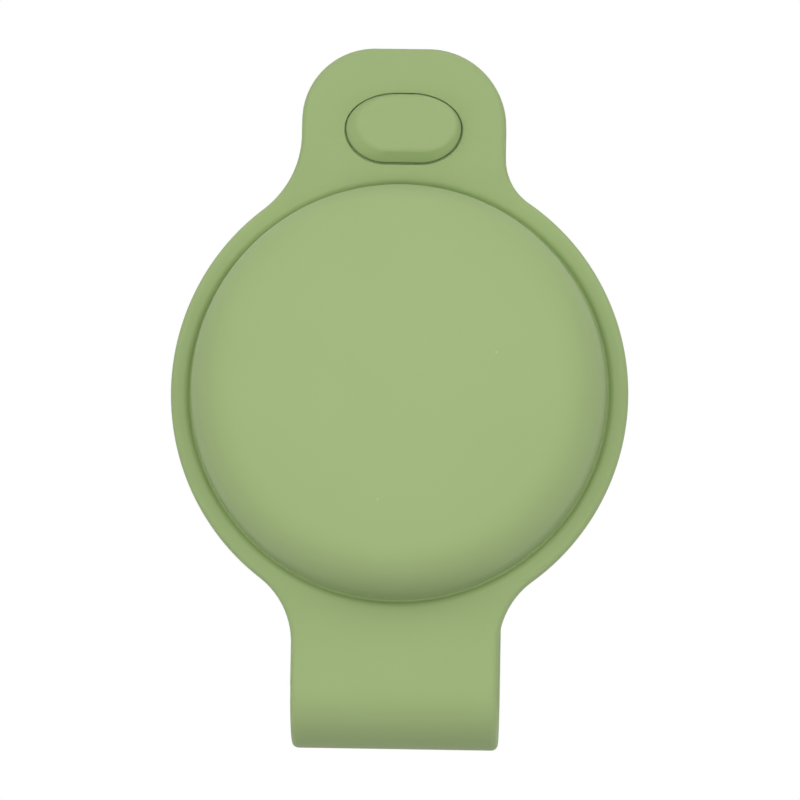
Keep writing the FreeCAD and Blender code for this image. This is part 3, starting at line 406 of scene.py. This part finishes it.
def build_strap(material):
    """Rear of the moulding: half of the fold, the run behind the collar, the bend and the end."""
    bm = bmesh.new()
    middle_r = (FOLD_R + FOLD_IN) / 2
    run_y = middle_r
    tail_y = strap_low.y + STRAP_THICK / 2
    tilt = math.acos(1 - (run_y - tail_y) / (2 * BEND_R))
    tail_z = END_TOP - TAIL_LENGTH
    run_end_z = tail_z - 2 * BEND_R * math.sin(tilt)
    fold_end = middle_r * math.pi / 2
    run_end = fold_end + run_end_z - FOLD_Z
    bend_mid = run_end + BEND_R * tilt
    bend_end = bend_mid + BEND_R * tilt
    strip_end = bend_end + TAIL_LENGTH

    # Flat strip: width along X, length along Z, thickness along Y, back face towards +Y
    corners = [
        (-STRAP_HALF, 0), (STRAP_HALF, 0), (STRAP_HALF, fold_end + TAPER_LEAD),
        (END_HALF, strip_end), (-END_HALF, strip_end), (-STRAP_HALF, fold_end + TAPER_LEAD),
    ]
    outline = [bm.verts.new((x, -STRAP_THICK / 2, s)) for x, s in corners]
    bm.faces.new(outline)
    round_off(bm, outline[3:5], END_CORNER, CORNER_STEPS, affect="VERTICES")
    made = bmesh.ops.extrude_face_region(bm, geom=bm.faces[:])["geom"]
    raised = [item for item in made if isinstance(item, bmesh.types.BMVert)]
    bmesh.ops.translate(bm, vec=(0, STRAP_THICK, 0), verts=raised)
    bmesh.ops.recalc_face_normals(bm, faces=bm.faces)
    soft = [
        e for e in bm.edges
        if abs(e.verts[0].co.y - e.verts[1].co.y) < HAIR and max(v.co.z for v in e.verts) > HAIR
    ]
    round_off(bm, soft, EDGE_R, EDGE_STEPS)
    cuts = [fold_end * i / FOLD_STEPS for i in range(1, FOLD_STEPS + 1)]
    cuts += [fold_end + (run_end - fold_end) * i / BEND_STEPS for i in range(1, BEND_STEPS + 1)]
    cuts += [run_end + (bend_end - run_end) * i / (2 * BEND_STEPS) for i in range(1, 2 * BEND_STEPS + 1)]
    for s in cuts:
        bmesh.ops.bisect_plane(
            bm, geom=bm.verts[:] + bm.edges[:] + bm.faces[:], dist=HAIR,
            plane_co=(0, 0, s), plane_no=(0, 0, 1),
        )

    # Hole for the stud's neck and a recess for its foot
    stud_s = strip_end - (END_TOP - STUD_Z)

    def end_face(y):
        """Flat faces of the strap's end at y, past the bend."""
        return [
            f for f in bm.faces
            if all(abs(v.co.y - y) < HAIR for v in f.verts) and f.calc_center_median().z > bend_end
        ]

    half = STRAP_THICK / 2
    foot = (FOOT_LENGTH + 2 * STUD_GAP, FOOT_WIDTH + 2 * STUD_GAP)
    neck = (NECK_LENGTH + 2 * STUD_GAP, NECK_WIDTH + 2 * STUD_GAP)
    rim = open_face(bm, end_face(half))
    mouth = slot_ring(bm, *foot, half, stud_s)
    mouth_edges = ring_edges(mouth)
    fill_round(bm, rim, mouth_edges)
    floor_y = half - FOOT_DEPTH - STUD_GAP
    floor_edges = step_ring(bm, mouth_edges, *foot, floor_y, stud_s, foot)
    neck_edges = step_ring(bm, floor_edges, *neck, floor_y, stud_s, foot)
    front_edges = step_ring(bm, neck_edges, *neck, -half, stud_s, neck)
    rim = open_face(bm, end_face(-half))
    fill_round(bm, rim, front_edges)
    bmesh.ops.recalc_face_normals(bm, faces=bm.faces)
    round_off(bm, mouth_edges + front_edges, SLOT_ROUND, BREAK_STEPS)

    # Bend the strip along its path
    for vert in bm.verts:
        s, t = vert.co.z, vert.co.y
        if s <= fold_end:
            turn = s / middle_r
            y = (middle_r + t) * math.sin(turn)
            z = FOLD_Z - (middle_r + t) * math.cos(turn)
        elif s <= run_end:
            y = run_y + t
            z = FOLD_Z + s - fold_end
        elif s <= bend_mid:
            turn = (s - run_end) / BEND_R
            y = run_y - BEND_R + (BEND_R + t) * math.cos(turn)
            z = run_end_z + (BEND_R + t) * math.sin(turn)
        elif s <= bend_end:
            turn = (bend_end - s) / BEND_R
            y = tail_y + BEND_R - (BEND_R - t) * math.cos(turn)
            z = tail_z - (BEND_R - t) * math.sin(turn)
        else:
            y = tail_y + t
            z = tail_z + s - bend_end
        vert.co.y = y
        vert.co.z = z
    return finish_mesh(bm, "silicone_strap", material)


def build_stud(material):
    """Closure stud: foot in the strap, neck through the slot, head with a sloping flank."""
    bm = bmesh.new()
    seat = STUD_FACE + HEAD_HEIGHT
    ring = slot_ring(bm, FOOT_LENGTH, FOOT_WIDTH, STUD_BACK, STUD_Z)
    edges = ring_edges(ring)
    bmesh.ops.contextual_create(bm, geom=edges)
    foot = (FOOT_LENGTH, FOOT_WIDTH)
    neck = (NECK_LENGTH, NECK_WIDTH)
    head = (HEAD_LENGTH, HEAD_WIDTH)
    face = (FACE_LENGTH, FACE_WIDTH)
    foot_front = step_ring(bm, edges, *foot, STUD_BACK - FOOT_DEPTH, STUD_Z, foot)
    neck_root = step_ring(bm, foot_front, *neck, STUD_BACK - FOOT_DEPTH, STUD_Z, foot)
    neck_top = step_ring(bm, neck_root, *neck, seat, STUD_Z, neck)
    head_base = step_ring(bm, neck_top, *head, seat, STUD_Z, neck)
    head_wall = step_ring(bm, head_base, *head, seat - HEAD_WALL, STUD_Z, head)
    head_face = step_ring(bm, head_wall, *face, STUD_FACE, STUD_Z, head)
    rim = list({vert for edge in head_base + head_wall for vert in edge.verts})
    bmesh.ops.translate(bm, vec=(0, 0, HEAD_LIFT), verts=rim)
    rim = list({vert for edge in head_face for vert in edge.verts})
    bmesh.ops.translate(bm, vec=(FACE_SHIFT, 0, FACE_LIFT), verts=rim)
    bmesh.ops.contextual_create(bm, geom=head_face)
    bmesh.ops.recalc_face_normals(bm, faces=bm.faces)
    round_off(bm, head_face, FACE_ROUND, FACE_STEPS)
    round_off(bm, [e for e in head_wall + edges if e.is_valid], STUD_ROUND, BREAK_STEPS)
    return finish_mesh(bm, "silicone_stud", material)


# Blender's wave texture turns through 20 radians in each unit of scaled length
WAVE_TURN = math.tau / 20


def linear(hex_colour):
    """Turn an sRGB hex value into linear RGBA."""
    channels = [int(hex_colour[i:i + 2], 16) / 255 for i in (1, 3, 5)]
    return [c / 12.92 if c <= 0.04045 else ((c + 0.055) / 1.055) ** 2.4 for c in channels] + [1.0]


def add_node(material, kind, inputs=None, **settings):
    """Add a node with its settings, and set or link its inputs."""
    tree = material.node_tree
    node = tree.nodes.new(kind)
    for name, setting in settings.items():
        setattr(node, name, setting)
    for socket, source in (inputs or {}).items():
        if isinstance(source, bpy.types.NodeSocket):
            tree.links.new(source, node.inputs[socket])
        else:
            node.inputs[socket].default_value = source
    return node


def new_material(name):
    """Material with an empty node tree."""
    material = bpy.data.materials.new(name)
    material.use_nodes = True
    material.node_tree.nodes.clear()
    return material


def close_material(material, shader):
    """Link the shader to the material's output, and return the material."""
    add_node(material, "ShaderNodeOutputMaterial", {"Surface": shader.outputs["BSDF"]})
    return material


# Pattern of the silicone's skin, in millimetres: cloud, lint dots in their cells, and the mould's
# grain, which is drawn coarser than it is so that it shows
CLOUD_PATCH = 9.0
LINT_CELL, LINT_R = 5.0, 0.1
GRAIN_SIZE, GRAIN_DEPTH = 0.3, 0.02


def moulded_silicone():
    """Silicone rubber from a spark-eroded mould: matte and soft, with faint cloud, grain and lint."""
    material = new_material("moulded_silicone")
    place = add_node(material, "ShaderNodeTexCoord").outputs["Object"]
    cloud = add_node(
        material, "ShaderNodeTexNoise", {"Vector": place, "Scale": 1 / (CLOUD_PATCH * MM), "Detail": 2.0}
    ).outputs["Fac"]
    tint = add_node(
        material, "ShaderNodeMix",
        {"Factor": cloud, "A": linear("#a1b77b"), "B": linear("#a5bb81")}, data_type="RGBA",
    ).outputs["Result"]
    # Lint on the tacky skin: of the dots, one in each cell, a few touch the surface
    cell = add_node(material, "ShaderNodeTexVoronoi", {"Vector": place, "Scale": 1 / (LINT_CELL * MM)})
    lint = add_node(
        material, "ShaderNodeMath", {0: cell.outputs["Distance"], 1: LINT_R / LINT_CELL},
        operation="LESS_THAN",
    ).outputs["Value"]
    fibre = add_node(
        material, "ShaderNodeMix",
        {"Factor": cell.outputs["Color"], "A": linear("#66744f"), "B": linear("#d3d9c0")},
        data_type="RGBA",
    ).outputs["Result"]
    skin = add_node(
        material, "ShaderNodeMix", {"Factor": lint, "A": tint, "B": fibre}, data_type="RGBA"
    ).outputs["Result"]
    gloss = add_node(material, "ShaderNodeMapRange", {"Value": cloud, "To Min": 0.58, "To Max": 0.68})
    grain = add_node(
        material, "ShaderNodeTexNoise", {"Vector": place, "Scale": 1 / (GRAIN_SIZE * MM), "Detail": 3.0}
    ).outputs["Fac"]
    bump = add_node(
        material, "ShaderNodeBump", {"Height": grain, "Strength": 0.12, "Distance": GRAIN_DEPTH * MM}
    )
    shader = add_node(
        material, "ShaderNodeBsdfPrincipled",
        {
            "Base Color": skin, "Roughness": gloss.outputs["Result"], "Normal": bump.outputs["Normal"],
            "IOR": 1.41, "Specular IOR Level": 0.35, "Sheen Weight": 0.08, "Sheen Roughness": 0.5,
        },
    )
    return close_material(material, shader)


def plain_finish(name, tones, patch, relief, depth, roughness, metallic=0.0, ior=1.5, wave=None):
    """Finish whose colour and gloss drift over patches, with a fine relief on its surface.

    The two tones are sRGB colours and roughness holds its two ends. Patch, relief and depth are
    sizes in millimetres. The relief is noise, or a wave: RINGS round the tag's axis, or BANDS along it.
    """
    material = new_material(name)
    place = add_node(material, "ShaderNodeTexCoord").outputs["Object"]
    cloud = add_node(
        material, "ShaderNodeTexNoise", {"Vector": place, "Scale": 1 / (patch * MM), "Detail": 3.0}
    ).outputs["Fac"]
    tint = add_node(
        material, "ShaderNodeMix",
        {"Factor": cloud, "A": linear(tones[0]), "B": linear(tones[1])}, data_type="RGBA",
    )
    gloss = add_node(
        material, "ShaderNodeMapRange", {"Value": cloud, "To Min": roughness[0], "To Max": roughness[1]}
    )
    if wave:
        height = add_node(
            material, "ShaderNodeTexWave", {"Vector": place, "Scale": WAVE_TURN / (relief * MM)},
            wave_type=wave, rings_direction="Y", bands_direction="Y",
        )
    else:
        height = add_node(material, "ShaderNodeTexNoise", {"Vector": place, "Scale": 1 / (relief * MM)})
    bump = add_node(
        material, "ShaderNodeBump",
        {"Height": height.outputs["Fac"], "Strength": 1.0, "Distance": depth * MM},
    )
    shader = add_node(
        material, "ShaderNodeBsdfPrincipled",
        {
            "Base Color": tint.outputs["Result"], "Roughness": gloss.outputs["Result"],
            "Normal": bump.outputs["Normal"], "Metallic": metallic, "IOR": ior,
        },
    )
    return close_material(material, shader)


silicone = moulded_silicone()
front = build_front(silicone)
strap = build_strap(silicone)
stud = build_stud(silicone)

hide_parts("front_shell", "strap_fold")
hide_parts("rear_strap", "strap_fold")
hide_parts("closure_stud")
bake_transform(front)
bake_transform(strap)
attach(stud, "strap")

# Finishes of the pieces that stay as the frame has them, by material slot
finishes = {
    "silicone": silicone,
    # Gloss ABS, the tag's cap: white and wet-looking, with a slight orange peel
    "tag_plastic": plain_finish(
        "gloss_abs", ("#f0f0ed", "#f6f6f3"), 6.0, 1.2, 0.004, (0.12, 0.2), ior=1.54
    ),
    # Spark-eroded ABS, the tag's base: white and satin, with an even grain drawn coarse enough to show
    "base_plastic": plain_finish(
        "satin_abs", ("#e4e4e0", "#ededea"), 5.0, 0.2, 0.006, (0.36, 0.48), ior=1.54
    ),
    # Turned stainless steel, the cover: bright, with lathe rings that fan the light out from the middle
    "cover_steel": plain_finish(
        "turned_stainless_steel", ("#c2c1be", "#cfcecb"), 4.0, 0.15, 0.002, (0.2, 0.3), 1.0, wave="RINGS"
    ),
    # Nickel-plated steel, the cell's can and the sounder's cup: warm, bright, faintly marked by its press
    "cell_steel": plain_finish(
        "nickel_plated_steel", ("#bdb8ad", "#cbc6bb"), 3.0, 0.5, 0.002, (0.18, 0.3), 1.0
    ),
    # EPDM rubber, the cover's seal: black and dull, with a mealy skin
    "seal_rubber": plain_finish(
        "epdm_rubber", ("#1d1e1f", "#2a2a2b"), 2.0, 0.2, 0.01, (0.6, 0.75), ior=1.48
    ),
    # Polypropylene, the cell's gasket: milky white and waxy
    "gasket_plastic": plain_finish(
        "polypropylene", ("#d9dcd6", "#e4e6e0"), 2.0, 0.3, 0.004, (0.4, 0.5), ior=1.49
    ),
    # Pressed manganese dioxide, the cathode: near black, dry and grainy
    "cathode": plain_finish(
        "pressed_manganese_dioxide", ("#191715", "#2c2927"), 0.6, 0.15, 0.02, (0.8, 0.95)
    ),
    # Non-woven polypropylene, the separator: white felt of short fibres
    "separator": plain_finish(
        "nonwoven_polypropylene", ("#e2e0d9", "#f3f1ea"), 0.5, 0.08, 0.02, (0.75, 0.9), ior=1.49
    ),
    # Lithium foil, the anode: soft silver metal with dull patches
    "lithium": plain_finish("lithium_foil", ("#8f8e8c", "#b5b4b1"), 1.5, 0.3, 0.006, (0.4, 0.6), 1.0),
    # Gold-flashed spring steel, the contacts: warm and bright
    "contact_metal": plain_finish(
        "gold_flashed_spring_steel", ("#d3ab63", "#deb974"), 2.0, 0.25, 0.002, (0.22, 0.34), 1.0
    ),
    # Glass-epoxy board under solder mask: dark green, half gloss, with the cloth's weave just showing
    "board": plain_finish(
        "solder_mask", ("#123c2a", "#1a4b35"), 1.0, 0.35, 0.008, (0.3, 0.42), ior=1.55
    ),
    # Moulded epoxy, the chips: charcoal, matte and finely pitted
    "chip": plain_finish(
        "moulded_epoxy", ("#1b1c1e", "#27282b"), 0.8, 0.12, 0.006, (0.55, 0.7), ior=1.55
    ),
    # Nickel-plated neodymium, the magnet: grey and bright
    "magnet": plain_finish(
        "nickel_plated_neodymium", ("#a9a7a2", "#bbb9b4"), 1.5, 0.2, 0.002, (0.2, 0.32), 1.0
    ),
    # Enamelled copper wire, the voice coil: its 0.08 mm turns drawn twice as coarse, so that they show
    "copper_wire": plain_finish(
        "enamelled_copper", ("#b0673a", "#c67c4b"), 0.6, 0.16, 0.03, (0.3, 0.42), 1.0, wave="BANDS"
    ),
}
for entry in frame["record"]["subparts"]:
    for place in frame["nodes"][entry["node"]].material_slots:
        place.material = finishes[entry["material_slot"]]

# Broken edges on the two pieces of the tag that show from behind, in millimetres
BROKEN_EDGES = {"tag_base": 0.15, "battery_cover": 0.08}
BROKEN_ANGLE = 35
for name, width in BROKEN_EDGES.items():
    node = frame["nodes"][name]
    weld = node.modifiers.new("joined_faces", "WELD")
    weld.merge_threshold = HAIR * MM
    bevel = node.modifiers.new("broken_edges", "BEVEL")
    bevel.width = width * MM
    bevel.segments = BREAK_STEPS
    bevel.limit_method = "ANGLE"
    bevel.angle_limit = math.radians(BROKEN_ANGLE)
    node.modifiers.new("even_normals", "WEIGHTED_NORMAL")

# Camera: a little below the tag and to its right, leaning as the photograph does. The image is in
# pixels, a pixel, the reach, the sensor and the aim in millimetres, and the angles in degrees.
IMAGE = 800
PIXEL = 0.0827
SENSOR = 36.0
CAMERA_REACH = 480.0
CAMERA_ASIDE, CAMERA_RISE, CAMERA_LEAN = 2.4, -6.5, 1.05
AIM = Vector((0.07, (FRONT_Y + BACK_Y) / 2, -0.54))
camera_data = bpy.data.cameras.new("camera")
camera_data.sensor_width = SENSOR
camera_data.lens = SENSOR * CAMERA_REACH / (IMAGE * PIXEL)
camera_data.clip_start = 10 * MM
camera = bpy.data.objects.new("camera", camera_data)
bpy.context.scene.collection.objects.link(camera)
aside, rise = math.radians(CAMERA_ASIDE), math.radians(CAMERA_RISE)
back = Vector((math.sin(aside) * math.cos(rise), -math.cos(aside) * math.cos(rise), math.sin(rise)))
camera.location = (AIM + back * CAMERA_REACH) * MM
lean = Matrix.Rotation(math.radians(CAMERA_LEAN), 4, "Z")
camera.rotation_euler = ((-back).to_track_quat("-Z", "Y").to_matrix().to_4x4() @ lean).to_euler()
bpy.context.scene.camera = camera

# Floor, far below, with the strength and spread of its own light
FLOOR_Z = -140.0
FLOOR_HALF = 3000.0
FLOOR_CELLS = 8
FLOOR_SUN, FLOOR_SPREAD = 2.9, 70
floor_bm = bmesh.new()
bmesh.ops.create_grid(
    floor_bm, x_segments=FLOOR_CELLS, y_segments=FLOOR_CELLS, size=FLOOR_HALF * MM
)
bmesh.ops.translate(floor_bm, vec=(0, 0, FLOOR_Z * MM), verts=floor_bm.verts)
floor_mesh = bpy.data.meshes.new("floor")
floor_bm.to_mesh(floor_mesh)
floor_bm.free()
# Painted board: pale, even and matte
floor_mesh.materials.append(
    plain_finish("painted_board", ("#efeeeb", "#f5f4f2"), 60.0, 2.0, 0.01, (0.55, 0.65))
)
floor = bpy.data.objects.new("floor", floor_mesh)
bpy.context.scene.collection.objects.link(floor)

# The softboxes are flagged off the floor, which has an even light of its own and throws none back
floor.visible_diffuse = False
floor.visible_glossy = False
floor.visible_shadow = False
off_floor = bpy.data.collections.new("off_floor")
off_floor.objects.link(floor)
off_floor.collection_objects[0].light_linking.link_state = "EXCLUDE"
on_floor = bpy.data.collections.new("on_floor")
on_floor.objects.link(floor)
floor_data = bpy.data.lights.new("floor_light", "SUN")
floor_data.energy = FLOOR_SUN
floor_data.angle = math.radians(FLOOR_SPREAD)
floor_light = bpy.data.objects.new("floor_light", floor_data)
floor_light.light_linking.receiver_collection = on_floor
bpy.context.scene.collection.objects.link(floor_light)

# Softboxes that face the tag: place and size in millimetres, power in watts
SOFTBOXES = {
    "close_softbox": ((0, -140, 0), 80, 0.081),
    "top_softbox": ((0, 0, 500), 300, 0.83),
    "left_softbox": ((-600, -60, 0), 300, 0.56),
    "right_softbox": ((600, -60, 0), 300, 0.62),
    "left_top_softbox": ((-450, -450, 350), 400, 1.24),
    "right_top_softbox": ((450, -450, 350), 400, 1.19),
    "low_softbox": ((0, -100, -600), 600, 0.61),
    "left_low_softbox": ((-450, -350, -300), 400, 0.8),
    "right_low_softbox": ((450, -350, -300), 400, 0.78),
}
for name, (place, size, power) in SOFTBOXES.items():
    data = bpy.data.lights.new(name, "AREA")
    data.shape = "SQUARE"
    data.size = size * MM
    data.energy = power
    light = bpy.data.objects.new(name, data)
    light.location = Vector(place) * MM
    light.rotation_euler = (-Vector(place)).to_track_quat("-Z", "Y").to_euler()
    light.light_linking.receiver_collection = off_floor
    bpy.context.scene.collection.objects.link(light)

# White room: the camera sees it white, and it lights the object from behind, growing from the sides
REAR_LIGHT = 0.9
REAR_FROM, REAR_TO = 0.1, 0.7
world = bpy.data.worlds.new("white_room")
world.use_nodes = True
world.node_tree.nodes.clear()
towards = add_node(world, "ShaderNodeTexCoord").outputs["Generated"]
behind = add_node(world, "ShaderNodeSeparateXYZ", {"Vector": towards}).outputs["Y"]
rear = add_node(
    world, "ShaderNodeMapRange",
    {
        "Value": behind, "From Min": REAR_FROM, "From Max": REAR_TO,
        "To Min": 0.0, "To Max": REAR_LIGHT,
    },
).outputs["Result"]
seen = add_node(world, "ShaderNodeLightPath").outputs["Is Camera Ray"]
glow = add_node(world, "ShaderNodeMix", {"Factor": seen, "A": rear, "B": 1.0}).outputs["Result"]
sky = add_node(world, "ShaderNodeBackground", {"Color": linear("#ffffff"), "Strength": glow})
add_node(world, "ShaderNodeOutputWorld", {"Surface": sky.outputs["Background"]})
bpy.context.scene.world = world
bpy.context.scene.view_settings.view_transform = "Standard"
